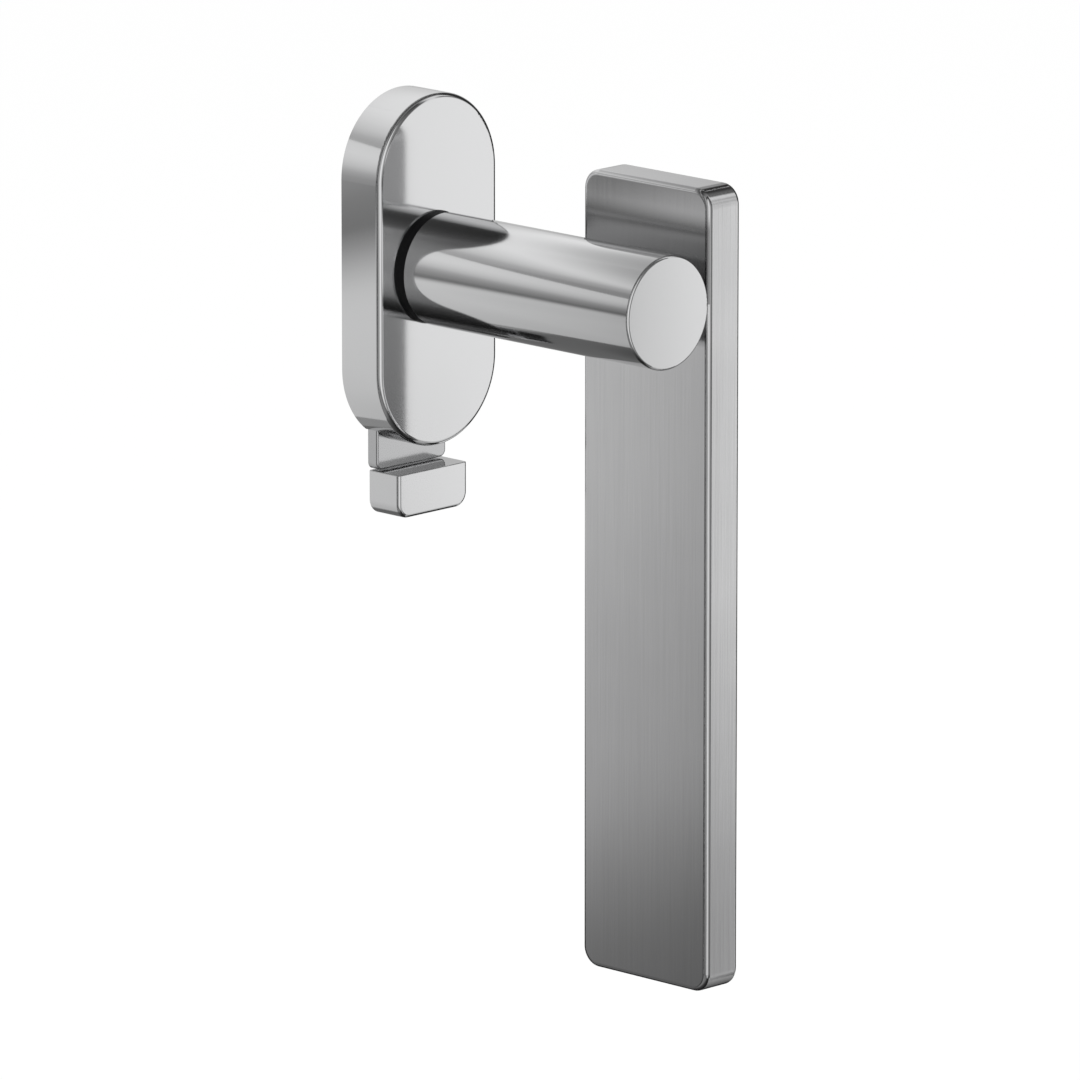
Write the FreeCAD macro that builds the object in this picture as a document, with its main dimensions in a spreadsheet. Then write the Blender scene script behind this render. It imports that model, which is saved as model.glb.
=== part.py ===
"""Lockable window handle: oval rose, round neck, flat grip and a sliding lock below the rose.

Frame: the origin is on the turning axis, in the plane that lies on the window frame. +Z is up,
+X is to the right seen from the room, and the handle stands out of the window along -Y. A depth
is a distance in front of the mounting plane, so a point at depth d has y = -d. The handle is
closed: the grip hangs down. The lock is out, so the neck is free to turn.
"""

import FreeCAD, Part
import math
import os
import Sketcher

Vector = FreeCAD.Vector

# lengths in mm, or volumes in mm3, that differ by less than this count as equal
TINY = 1e-4

doc = FreeCAD.newDocument("window_handle")

DIMENSIONS = {
    # oval cover of the rose
    "rose_width": 32.0,
    "rose_height": 68.8,
    "rose_drop": 0.4,
    "rose_depth": 10.2,
    "rose_edge": 1.0,
    "cover_wall": 1.4,
    "cover_gap": 0.2,
    # gaps: between a shaft and its bearing, between seated pieces, and round what moves
    "run_gap": 0.05,
    "seat_gap": 0.05,
    "free_gap": 0.3,
    # how far a cut or a joined piece runs past the face where it starts or ends
    "overrun": 1.0,
    # round neck, the spigot pressed into it and the square socket for the window's spindle
    "neck_diameter": 22.0,
    "neck_reach": 71.0,
    "neck_rim": 0.5,
    "neck_heel": 0.25,
    "spigot_diameter": 13.0,
    "spigot_key": 11.4,
    "spigot_back": 0.3,
    "spigot_in_neck": 12.0,
    "spigot_lead": 0.5,
    "socket_size": 7.1,
    "socket_depth": 18.0,
    # black bush
    "ring_diameter": 21.6,
    "ring_width": 1.3,
    "bush_wall": 1.85,
    "bush_back": 5.2,
    # flat grip
    "grip_length": 156.5,
    "grip_width": 33.0,
    "grip_thickness": 8.8,
    "grip_above": 21.9,
    "grip_proud": 0.2,
    "grip_corner": 3.8,
    "grip_edge": 1.0,
    "grip_seat": 0.2,
    # dowels between neck and grip
    "dowel_diameter": 5.0,
    "dowel_spacing": 16.0,
    "dowel_in_neck": 7.0,
    "dowel_in_grip": 6.0,
    "dowel_lead": 0.4,
    # sheet that closes the back, and its screws
    "back_sheet": 0.8,
    "back_sheet_end": 22.0,
    "back_screw_x": 12.0,
    "back_screw_z": 15.2,
    "back_screw_diameter": 2.0,
    "back_screw_head": 3.4,
    "back_screw_length": 4.0,
    # standard fixing: two screws, with bosses that centre the rose on the frame
    "screw_pitch": 43.0,
    "screw_hole": 5.2,
    "screw_head": 10.4,
    "boss_diameter": 10.0,
    "boss_reach": 2.0,
    # cam on the spigot, and the springs that click on its flats
    "cam_flats": 18.0,
    "cam_diameter": 21.2,
    "cam_back": 2.0,
    "cam_thickness": 2.6,
    "notch_width": 5.4,
    "notch_root": 7.3,
    "circlip_back": 1.1,
    "circlip_groove": 0.8,
    "circlip_bite": 0.5,
    "circlip_wall": 1.15,
    "circlip_opening": 4.0,
    "washer_wall": 1.6,
    "index_spring_thickness": 0.5,
    "index_spring_width": 1.9,
    "index_spring_length": 25.6,
    "index_spring_held": 1.5,
    # sliding lock
    "lock_width": 18.7,
    "lock_plate": 2.5,
    "lock_back": 0.3,
    "lock_drop": 4.65,
    "lock_travel": 4.5,
    "lock_corner": 1.4,
    "lock_edge": 0.4,
    "tongue_step": 0.8,
    "nose_width": 4.8,
    "nose_lift": 1.6,
    "lock_edge_notch": 1.1,
    "click_spring_thickness": 0.4,
    "click_spring_length": 10.0,
    "click_bump": 0.9,
    "click_below": 3.5,
    "click_side_gap": 0.1,
    # block on the end of the slide
    "button_gap": 0.2,
    "button_height": 8.6,
    "button_depth": 8.3,
    "button_corner": 2.8,
    "button_edge": 0.7,
    "button_top_edge": 0.2,
    "tenon_width": 12.0,
    "tenon_thickness": 1.1,
    "tenon_length": 3.8,
    "button_pin_diameter": 1.6,
    "button_pin_spacing": 7.0,
    "button_pin_length": 4.0,
    # bowed strips that grip the cover
    "clip_recess": 1.0,
    "clip_length": 14.0,
    "clip_width": 3.6,
    "clip_thickness": 0.4,
    "clip_depth": 5.0,
    "clip_crown": 4.6,
}


class Size:
    """A length with its value now and the formula of sheet cells that it comes from."""

    def __init__(self, value, formula):
        self.value = value
        self.formula = formula

    def join(self, other, sign, value):
        return Size(value, f"({self.formula} {sign} {size(other).formula})")

    def __add__(self, other):
        return self.join(other, "+", self.value + size(other).value)

    def __sub__(self, other):
        return self.join(other, "-", self.value - size(other).value)

    def __mul__(self, other):
        return self.join(other, "*", self.value * size(other).value)

    def __truediv__(self, other):
        return self.join(other, "/", self.value / size(other).value)

    def __neg__(self):
        return Size(-self.value, f"(0 - {self.formula})")

    __radd__ = __add__

    def __rsub__(self, other):
        return size(other) - self


def size(number):
    """A plain number as a Size, or a Size as it is."""
    if isinstance(number, Size):
        return number
    return Size(float(number), str(number))


def make_sheet():
    """The sheet of driving dimensions, one named cell each."""
    sheet = doc.addObject("Spreadsheet::Sheet", "Sizes")
    for row, (name, value) in enumerate(DIMENSIONS.items(), start=1):
        sheet.set(f"A{row}", name)
        sheet.set(f"B{row}", str(value))
        sheet.setAlias(f"B{row}", name)
    doc.recompute()
    return {name: Size(value, f"Sizes.{name}") for name, value in DIMENSIONS.items()}


class Names:
    """The named sizes, and the places that are worked out from them."""


def bind(thing, prop, length):
    """Ties a property of a feature to the sheet."""
    thing.setExpression(prop, size(length).formula)


# sketches

def new_body(name):
    body = doc.addObject("PartDesign::Body", name)
    body.Label = name
    return body


def sketch_on(body, role, name, offset=0):
    """A sketch on one of the body's own origin planes, moved along the plane's normal."""
    drawing = body.newObject("Sketcher::SketchObject", name)
    plane = next(f for f in body.Origin.OriginFeatures if f.Role == role)
    drawing.AttachmentSupport = [(plane, "")]
    drawing.MapMode = "FlatFace"
    bind(drawing, "AttachmentOffset.Base.z", offset)
    return drawing


def face_on(body, name, depth=0):
    """A sketch seen from the room: its x is X, its y is Z, and it lies at the given depth."""
    return sketch_on(body, "XZ_Plane", name, depth)


def pin_point(drawing, line, end, across, up):
    """Holds one end of a line, or a centre, at a place."""
    for kind, place in (("DistanceX", across), ("DistanceY", up)):
        place = size(place)
        rule = Sketcher.Constraint(kind, -1, 1, line, end, place.value)
        number = drawing.addConstraint(rule)
        bind(drawing, f"Constraints[{number}]", place)


def polygon(drawing, corners):
    """A closed outline of straight lines through the corners."""
    first = drawing.GeometryCount
    count = len(corners)
    spots = [Vector(size(a).value, size(b).value, 0) for a, b in corners]
    for i in range(count):
        drawing.addGeometry(Part.LineSegment(spots[i], spots[(i + 1) % count]), False)
    for i, (across, up) in enumerate(corners):
        following = first + (i + 1) % count
        drawing.addConstraint(Sketcher.Constraint("Coincident", first + i, 2, following, 1))
        pin_point(drawing, first + i, 1, across, up)


def rectangle(drawing, left, right, low, high):
    polygon(drawing, [(left, low), (right, low), (right, high), (left, high)])


def circle(drawing, radius, across=0, up=0):
    centre = Vector(size(across).value, size(up).value, 0)
    shape = Part.Circle(centre, Vector(0, 0, 1), size(radius).value)
    ring = drawing.addGeometry(shape, False)
    pin_point(drawing, ring, 3, across, up)
    number = drawing.addConstraint(Sketcher.Constraint("Radius", ring, size(radius).value))
    bind(drawing, f"Constraints[{number}]", radius)


def arc_with_radius(drawing, centre, radius, start, end):
    """An arc from one angle to another, counterclockwise, held at its centre and radius."""
    spot = Vector(size(centre[0]).value, size(centre[1]).value, 0)
    whole = Part.Circle(spot, Vector(0, 0, 1), size(radius).value)
    arc = drawing.addGeometry(Part.ArcOfCircle(whole, start, end), False)
    pin_point(drawing, arc, 3, centre[0], centre[1])
    number = drawing.addConstraint(Sketcher.Constraint("Radius", arc, size(radius).value))
    bind(drawing, f"Constraints[{number}]", radius)
    return arc


def upright_oval(drawing, radius, high, low):
    """Two half circles, centred at high and low on the middle line, joined by straight sides."""
    top = arc_with_radius(drawing, (0, high), radius, 0, math.pi)
    bottom = arc_with_radius(drawing, (0, low), radius, math.pi, 2 * math.pi)
    r, h, l = size(radius).value, size(high).value, size(low).value
    left = drawing.addGeometry(Part.LineSegment(Vector(-r, h, 0), Vector(-r, l, 0)), False)
    right = drawing.addGeometry(Part.LineSegment(Vector(r, l, 0), Vector(r, h, 0)), False)
    joints = [(top, 2, left, 1), (left, 2, bottom, 1), (bottom, 2, right, 1), (right, 2, top, 1)]
    for joint in joints:
        drawing.addConstraint(Sketcher.Constraint("Tangent", *joint))


# features

def pad(body, name, drawing, length):
    """Material from the sketch forward, along its normal."""
    feature = body.newObject("PartDesign::Pad", name)
    feature.Profile = drawing
    bind(feature, "Length", length)
    doc.recompute()
    return feature


def check_removed(body, before, name):
    if not body.Shape.Volume < before - TINY:
        raise RuntimeError(f"{name} in {body.Label} cuts nothing")


def pocket(body, name, drawing, length):
    """Removes material from the sketch forward, along its normal."""
    before = body.Shape.Volume
    feature = body.newObject("PartDesign::Pocket", name)
    feature.Profile = drawing
    feature.Reversed = True
    bind(feature, "Length", length)
    doc.recompute()
    check_removed(body, before, name)
    return feature


def around_axis(body, name, feature, count):
    """Repeats a feature evenly round the turning axis."""
    pattern = body.newObject("PartDesign::PolarPattern", name)
    pattern.Originals = [feature]
    axis = next(f for f in body.Origin.OriginFeatures if f.Role == "Y_Axis")
    pattern.Axis = (axis, [""])
    pattern.Angle = 360
    pattern.Occurrences = count
    body.Tip = pattern
    doc.recompute()
    return pattern


def turned(name, corners):
    """A turned piece: the outline has (depth, radius) corners and turns about the Y axis."""
    body = new_body(name)
    drawing = sketch_on(body, "YZ_Plane", name + "_outline")
    polygon(drawing, [(-size(depth), radius) for depth, radius in corners])
    feature = body.newObject("PartDesign::Revolution", name + "_turning")
    feature.Profile = drawing
    feature.ReferenceAxis = (drawing, ["H_Axis"])
    feature.Angle = 360
    doc.recompute()
    return body


def pick_edges(body, wanted):
    """The names of the edges that pass a test, which is given each edge."""
    return [f"Edge{i}" for i, edge in enumerate(body.Shape.Edges, start=1) if wanted(edge)]


def round_edges(body, name, wanted, radius):
    edges = pick_edges(body, wanted)
    if not edges:
        raise RuntimeError(f"{name} in {body.Label} finds no edge")
    before = body.Tip
    feature = body.newObject("PartDesign::Fillet", name)
    feature.Base = (before, edges)
    bind(feature, "Radius", radius)
    doc.recompute()
    return feature


def bevel_edges(body, name, wanted, width):
    edges = pick_edges(body, wanted)
    if not edges:
        raise RuntimeError(f"{name} in {body.Label} finds no edge")
    before = body.Tip
    feature = body.newObject("PartDesign::Chamfer", name)
    feature.Base = (before, edges)
    bind(feature, "Size", width)
    doc.recompute()
    return feature


def near(a, b):
    return abs(a - size(b).value) < TINY


def flat_at_depth(edge, depth):
    """True where the whole edge lies at one depth."""
    box = edge.BoundBox
    return near(-box.YMin, depth) and near(-box.YMax, depth)


def runs_along(edge, direction):
    """True where a straight edge is parallel to a direction."""
    if not isinstance(edge.Curve, Part.Line):
        return False
    return edge.Curve.Direction.cross(direction).Length < TINY


def is_round_edge(edge, radius):
    return isinstance(edge.Curve, Part.Circle) and near(edge.Curve.Radius, radius)


def cylinder(name, radius, length, place, turn):
    """A plain round bar from a place, laid along the direction that the turn gives."""
    bar = doc.addObject("Part::Cylinder", name)
    bar.Placement = FreeCAD.Placement(Vector(), turn)
    bind(bar, "Radius", radius)
    bind(bar, "Height", length)
    for axis, coordinate in zip("xyz", place):
        bind(bar, f"Placement.Base.{axis}", coordinate)
    return bar


def fused(name, pieces):
    """Several solids, kept apart, under one name."""
    whole = doc.addObject("Part::Compound", name)
    whole.Label = name
    whole.Links = pieces
    doc.recompute()
    return whole


ALONG_X = FreeCAD.Rotation(Vector(0, 0, 1), Vector(1, 0, 0))
FORWARD = FreeCAD.Rotation(Vector(0, 0, 1), Vector(0, -1, 0))


# places that several pieces share

def work_out(cells):
    """Names every size, and every place that more than one piece uses."""
    p = Names()
    for name, length in cells.items():
        setattr(p, name, length)
    p.rose_radius = p.rose_width / 2
    p.rose_high = (p.rose_height - p.rose_width) / 2 - p.rose_drop
    p.rose_low = -(p.rose_height - p.rose_width) / 2 - p.rose_drop
    p.cavity_radius = p.rose_radius - p.cover_wall
    p.cavity_front = p.rose_depth - p.cover_wall
    p.base_radius = p.cavity_radius - p.cover_gap
    p.spigot_radius = p.spigot_diameter / 2
    p.bush_hole = p.spigot_radius + p.run_gap
    p.sleeve_radius = p.bush_hole + p.bush_wall
    p.sleeve_hole = p.sleeve_radius + p.seat_gap
    p.ring_front = p.rose_depth + p.ring_width
    p.neck_radius = p.neck_diameter / 2
    p.neck_back = p.ring_front + p.run_gap
    p.spigot_front = p.neck_back + p.spigot_in_neck
    p.grip_front = p.neck_reach + p.grip_proud
    p.grip_rear = p.grip_front - p.grip_width
    p.grip_left = p.neck_radius - p.grip_seat
    p.grip_top = p.grip_above
    p.grip_bottom = p.grip_above - p.grip_length
    p.dowel_middle = (p.neck_reach + p.grip_rear) / 2
    p.screw_z = p.screw_pitch / 2
    p.boss_radius = p.boss_diameter / 2
    p.cam_radius = p.cam_diameter / 2
    p.cam_flat = p.cam_flats / 2
    p.cam_front = p.cam_back + p.cam_thickness
    p.cam_room = p.cam_radius + p.free_gap
    p.slide_front = p.lock_back + p.lock_plate
    p.slide_floor = p.slide_front + p.free_gap
    p.slide_half = p.lock_width / 2
    p.slot_radius = p.boss_radius + p.free_gap
    p.slot_low = p.screw_z + p.lock_travel
    p.nose_top = p.notch_root + p.free_gap + p.lock_travel
    p.bar_top = p.cam_flat + p.free_gap + p.lock_travel
    p.slide_bottom = p.rose_height / 2 + p.rose_drop + p.lock_drop
    p.button_top = p.slide_bottom + p.button_gap
    p.tongue_back = p.lock_back + p.tongue_step
    p.thick_top = p.back_sheet_end + p.free_gap * 2 + p.lock_travel
    p.nose_front = p.slide_front + p.nose_lift
    p.spring_back = p.slide_floor + p.free_gap / 2
    p.click_middle = p.click_below - p.rose_low
    return p


# rose: everything that stays still on the window

def rose_cover(p):
    """Oval shell, open at the back, with the neck's hole and a notch for the slide."""
    body = new_body("rose_cover")
    outline = face_on(body, "cover_outline")
    upright_oval(outline, p.rose_radius, p.rose_high, p.rose_low)
    pad(body, "cover_block", outline, p.rose_depth)
    round_edges(body, "cover_edge", lambda e: flat_at_depth(e, p.rose_depth), p.rose_edge)
    inside = face_on(body, "cover_inside")
    upright_oval(inside, p.cavity_radius, p.rose_high, p.rose_low)
    pocket(body, "cover_hollow", inside, p.cavity_front)
    hole = face_on(body, "cover_hole")
    circle(hole, p.sleeve_hole)
    pocket(body, "cover_neck_hole", hole, p.rose_depth + p.overrun)
    notch = face_on(body, "cover_notch")
    half = p.slide_half + p.free_gap
    rectangle(notch, -half, half, -p.rose_height, p.rose_low)
    pocket(body, "cover_slide_notch", notch, p.slide_floor)
    return body


def base_plate(p):
    """Cast support: two screw bosses, the bush's bore, and the cam's and slide's channels."""
    body = new_body("base_plate")
    outline = face_on(body, "base_outline", p.back_sheet)
    upright_oval(outline, p.base_radius, p.rose_high, p.rose_low)
    pad(body, "base_block", outline, p.cavity_front - p.back_sheet)

    recess = face_on(body, "base_cam_recess", p.back_sheet)
    circle(recess, p.cam_room)
    pocket(body, "base_cam_room", recess, p.bush_back - p.back_sheet)

    # one slot each side: wide where a spring bends, narrow where its ends are held
    bend_half = p.index_spring_length / 2 - p.index_spring_held
    end_half = p.index_spring_length / 2 + p.seat_gap
    spring_left = p.cam_flat + p.seat_gap
    spring_right = spring_left + p.index_spring_thickness
    bend_right = p.cam_radius + p.index_spring_thickness + p.free_gap * 2
    slots = face_on(body, "base_spring_slots", p.back_sheet)
    for side in (-1, 1):
        inner = (spring_left - p.seat_gap) * side
        outer = (spring_right + p.seat_gap) * side
        bend = bend_right * side
        polygon(slots, [
            (inner, -end_half), (outer, -end_half), (outer, -bend_half), (bend, -bend_half),
            (bend, bend_half), (outer, bend_half), (outer, end_half), (inner, end_half),
        ])
    pocket(body, "base_spring_room", slots, p.bush_back - p.back_sheet)

    channel = face_on(body, "base_channel", p.back_sheet)
    half = p.slide_half + p.free_gap
    rectangle(channel, -half, half, -p.rose_height, -(p.cam_flat + p.seat_gap))
    circle(channel, p.boss_radius, 0, -p.screw_z)
    pocket(body, "base_slide_channel", channel, p.slide_floor - p.back_sheet)

    nose = face_on(body, "base_nose", p.back_sheet)
    nose_half = p.nose_width / 2 + p.free_gap
    rectangle(nose, -nose_half, nose_half, -(p.screw_z - p.boss_radius), -p.notch_root)
    pocket(body, "base_nose_room", nose, p.nose_front + p.free_gap - p.back_sheet)

    click = face_on(body, "base_click", p.back_sheet)
    click_right = -(half - p.seat_gap)
    click_left = -(half + p.click_spring_thickness + p.click_bump + p.free_gap)
    click_half = p.click_spring_length / 2 + p.seat_gap
    rectangle(click, click_left, click_right,
              -(p.click_middle + click_half), -(p.click_middle - click_half))
    pocket(body, "base_click_room", click, p.slide_floor - p.back_sheet)

    bore = face_on(body, "base_bore", p.back_sheet)
    circle(bore, p.sleeve_hole)
    pocket(body, "base_bush_bore", bore, p.rose_depth)

    clips = face_on(body, "base_clips", p.clip_depth - p.clip_width / 2 - p.seat_gap)
    clip_half = p.clip_length / 2 + p.seat_gap
    for side in (-1, 1):
        rectangle(clips, (p.base_radius - p.clip_recess) * side, p.rose_width * side,
                  -clip_half, clip_half)
    pocket(body, "base_clip_recess", clips, p.clip_width + p.seat_gap * 2)

    bosses = face_on(body, "base_bosses", -p.boss_reach)
    for place in (p.screw_z, -p.screw_z):
        circle(bosses, p.boss_radius, 0, place)
    pad(body, "base_centring_bosses", bosses, p.boss_reach + p.back_sheet)

    holes = face_on(body, "base_holes", -p.boss_reach)
    for place in (p.screw_z, -p.screw_z):
        circle(holes, p.screw_hole / 2, 0, place)
    pocket(body, "base_screw_holes", holes, p.rose_depth + p.boss_reach)
    bevel_edges(
        body, "base_countersinks",
        lambda e: is_round_edge(e, p.screw_hole / 2) and flat_at_depth(e, p.cavity_front),
        (p.screw_head - p.screw_hole) / 2,
    )

    taps = face_on(body, "base_taps", p.back_sheet)
    for x in (-p.back_screw_x, p.back_screw_x):
        for z in (-p.back_screw_z, p.back_screw_z):
            circle(taps, p.back_screw_diameter / 2 + p.seat_gap, x, z)
    pocket(body, "base_tapped_holes", taps, p.back_screw_length)
    return body


def neck_bush(p):
    """Plastic bearing: a sleeve in the support and a flange between cover and neck."""
    return turned("neck_bush", [
        (p.bush_back, p.bush_hole),
        (p.bush_back, p.sleeve_radius),
        (p.rose_depth, p.sleeve_radius),
        (p.rose_depth, p.ring_diameter / 2),
        (p.ring_front, p.ring_diameter / 2),
        (p.ring_front, p.bush_hole),
    ])


def thrust_washer(p):
    """Flat ring that the cam turns against."""
    back = p.cam_front + p.run_gap
    inner = p.spigot_radius + p.run_gap * 2
    outer = inner + p.washer_wall
    return turned("thrust_washer", [
        (back, inner), (back, outer), (p.bush_back, outer), (p.bush_back, inner),
    ])


def index_spring(p, name, side):
    """Straight leaf spring on one flat of the cam, held at both ends in the support."""
    body = new_body(name)
    strip = face_on(body, name + "_strip", p.spring_back)
    near_face = (p.cam_flat + p.seat_gap) * side
    far_face = near_face + p.index_spring_thickness * side
    rectangle(strip, near_face, far_face, -p.index_spring_length / 2, p.index_spring_length / 2)
    pad(body, name + "_leaf", strip, p.index_spring_width)
    return body


def back_plate(p):
    """Sheet over the back of the support, open round the lower boss."""
    body = new_body("back_plate")
    outline = face_on(body, "back_outline")
    upright_oval(outline, p.base_radius, p.rose_high, p.rose_low)
    pad(body, "back_sheet_blank", outline, p.back_sheet)
    cut = face_on(body, "back_cut")
    rectangle(cut, -p.rose_width, p.rose_width, -p.rose_height, -p.back_sheet_end)
    pocket(body, "back_open_end", cut, p.back_sheet)
    holes = face_on(body, "back_holes")
    circle(holes, p.boss_radius + p.seat_gap, 0, p.screw_z)
    circle(holes, p.spigot_radius + p.free_gap)
    pocket(body, "back_boss_and_spigot_holes", holes, p.back_sheet)
    low = face_on(body, "back_low_hole")
    circle(low, p.boss_radius + p.seat_gap, 0, -p.screw_z)
    pocket(body, "back_low_boss_hole", low, p.back_sheet)
    screws = face_on(body, "back_screw_places")
    hole_radius = p.back_screw_diameter / 2 + p.seat_gap
    for x in (-p.back_screw_x, p.back_screw_x):
        for z in (-p.back_screw_z, p.back_screw_z):
            circle(screws, hole_radius, x, z)
    pocket(body, "back_screw_holes", screws, p.back_sheet)
    bevel_edges(
        body, "back_countersinks",
        lambda e: is_round_edge(e, hole_radius) and flat_at_depth(e, 0),
        (p.back_screw_head - p.back_screw_diameter) / 2,
    )
    return body


def back_plate_screws(p):
    """Four small countersunk screws."""
    screws = []
    head = (p.back_screw_head - p.back_screw_diameter) / 2
    sunk = p.seat_gap * 2
    for x in (-p.back_screw_x, p.back_screw_x):
        for z in (-p.back_screw_z, p.back_screw_z):
            number = len(screws) + 1
            shank = cylinder(
                f"back_screw_shank_{number}", p.back_screw_diameter / 2,
                p.back_screw_length - sunk, (x, -sunk, z), FORWARD,
            )
            cone = doc.addObject("Part::Cone", f"back_screw_head_{number}")
            cone.Placement = FreeCAD.Placement(Vector(), FORWARD)
            bind(cone, "Radius1", p.back_screw_head / 2 - sunk)
            bind(cone, "Radius2", p.back_screw_diameter / 2)
            bind(cone, "Height", head - sunk)
            for axis, coordinate in zip("xyz", (x, -sunk, z)):
                bind(cone, f"Placement.Base.{axis}", coordinate)
            screw = doc.addObject("Part::Fuse", f"back_screw_{number}")
            screw.Base = cone
            screw.Tool = shank
            screws.append(screw)
    doc.recompute()
    return fused("back_plate_screws", screws)


def lock_click_spring(p):
    """Leaf with a rounded bump that drops into the notches in the slide's edge."""
    body = new_body("lock_click_spring")
    back = p.tongue_back + p.click_side_gap
    width = p.slide_front - back
    strip = face_on(body, "click_strip", back)
    wall = p.slide_half + p.free_gap
    end = p.click_spring_length / 2
    rectangle(strip, -(wall + p.click_spring_thickness), -wall,
              -(p.click_middle + end), -(p.click_middle - end))
    pad(body, "click_leaf", strip, width)
    bump = face_on(body, "click_bump", back)
    circle(bump, p.click_bump, -wall, -p.click_middle)
    pad(body, "click_nose", bump, width)
    return body


def cover_clip(p, name, side):
    """Bowed strip between the support's flank and the cover's wall."""
    body = new_body(name)
    foot = p.base_radius - p.clip_recess
    crown = p.cavity_radius
    drawing = face_on(body, name + "_bow", p.clip_depth - p.clip_width / 2)
    end = p.clip_length / 2
    flat = p.clip_crown / 2
    polygon(drawing, [
        (foot * side, -end), ((foot + p.clip_thickness) * side, -end),
        (crown * side, -flat), (crown * side, flat),
        ((foot + p.clip_thickness) * side, end), (foot * side, end),
        ((crown - p.clip_thickness) * side, flat), ((crown - p.clip_thickness) * side, -flat),
    ])
    pad(body, name + "_strip", drawing, p.clip_width)
    return body


# handle: everything that turns with the neck

def neck(p):
    """Round bar with a bore for the spigot, a flat seat for the grip and two dowel holes."""
    bore = p.spigot_radius + p.seat_gap
    floor = p.spigot_front + p.seat_gap
    body = turned("neck", [
        (p.neck_back, bore),
        (p.neck_back, p.neck_radius),
        (p.neck_reach, p.neck_radius),
        (p.neck_reach, 0),
        (floor, 0),
        (floor, bore),
    ])
    round_edges(
        body, "neck_front_rim",
        lambda e: is_round_edge(e, p.neck_radius) and flat_at_depth(e, p.neck_reach),
        p.neck_rim,
    )
    bevel_edges(
        body, "neck_back_rim",
        lambda e: is_round_edge(e, p.neck_radius) and flat_at_depth(e, p.neck_back),
        p.neck_heel,
    )

    seat = sketch_on(body, "YZ_Plane", "neck_seat_outline", p.grip_left)
    rectangle(seat, -(p.neck_reach + p.overrun), -p.grip_rear, -p.neck_radius, p.neck_radius)
    pocket(body, "neck_grip_seat", seat, p.neck_radius)

    holes = sketch_on(body, "YZ_Plane", "neck_dowel_places", p.grip_left - p.dowel_in_neck)
    for side in (-1, 1):
        circle(holes, p.dowel_diameter / 2 + p.seat_gap,
               -(p.dowel_middle + p.dowel_spacing / 2 * side), 0)
    pocket(body, "neck_dowel_holes", holes, p.neck_radius)
    return body


def neck_spigot(p):
    """Round bar with key flats for the cam, a groove for its circlip and the square socket."""
    groove_front = p.circlip_back + p.circlip_groove
    groove_radius = p.spigot_radius - p.circlip_bite
    body = turned("neck_spigot", [
        (p.spigot_back, 0),
        (p.spigot_back, p.spigot_radius),
        (p.circlip_back, p.spigot_radius),
        (p.circlip_back, groove_radius),
        (groove_front, groove_radius),
        (groove_front, p.spigot_radius),
        (p.spigot_front, p.spigot_radius),
        (p.spigot_front, 0),
    ])
    bevel_edges(
        body, "spigot_front_lead",
        lambda e: is_round_edge(e, p.spigot_radius) and flat_at_depth(e, p.spigot_front),
        p.spigot_lead,
    )
    flats = face_on(body, "spigot_flats_outline", p.spigot_back)
    for side in (-1, 1):
        rectangle(flats, p.spigot_key / 2 * side, p.spigot_diameter * side,
                  -p.spigot_diameter, p.spigot_diameter)
    pocket(body, "spigot_flats", flats, p.cam_front - p.spigot_back)
    square = face_on(body, "spigot_socket_outline", p.spigot_back)
    half = p.socket_size / 2
    rectangle(square, -half, half, -half, half)
    pocket(body, "spigot_socket", square, p.socket_depth)
    return body


def grip_bar(p):
    """Flat bar with round corners and soft edges, seated on the neck's side."""
    body = new_body("grip_bar")
    outline = sketch_on(body, "YZ_Plane", "grip_outline", p.grip_left)
    rectangle(outline, -p.grip_front, -p.grip_rear, p.grip_bottom, p.grip_top)
    pad(body, "grip_block", outline, p.grip_thickness)
    round_edges(body, "grip_corners", lambda e: runs_along(e, Vector(1, 0, 0)), p.grip_corner)
    right = p.grip_left + p.grip_thickness

    def on_broad_face(edge):
        box = edge.BoundBox
        return any(near(box.XMin, x) and near(box.XMax, x) for x in (p.grip_left, right))

    round_edges(body, "grip_edges", on_broad_face, p.grip_edge)
    holes = sketch_on(body, "YZ_Plane", "grip_dowel_places", p.grip_left)
    for side in (-1, 1):
        circle(holes, p.dowel_diameter / 2 + p.seat_gap,
               -(p.dowel_middle + p.dowel_spacing / 2 * side), 0)
    pocket(body, "grip_dowel_holes", holes, p.dowel_in_grip)
    return body


def grip_dowel(p, name, side):
    """Round pin, half in the neck and half in the grip, short of both floors."""
    start = p.grip_left - p.dowel_in_neck + p.seat_gap
    length = p.dowel_in_neck + p.dowel_in_grip - p.seat_gap * 2
    depth = p.dowel_middle + p.dowel_spacing / 2 * side
    pin = cylinder(name + "_bar", p.dowel_diameter / 2, length, (start, -depth, 0), ALONG_X)
    doc.recompute()
    ends = doc.addObject("Part::Chamfer", name)
    ends.Label = name
    ends.Base = pin
    lead = p.dowel_lead.value
    edges = enumerate(pin.Shape.Edges, start=1)
    ends.Edges = [(i, lead, lead) for i, e in edges if isinstance(e.Curve, Part.Circle)]
    doc.recompute()
    return ends


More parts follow.
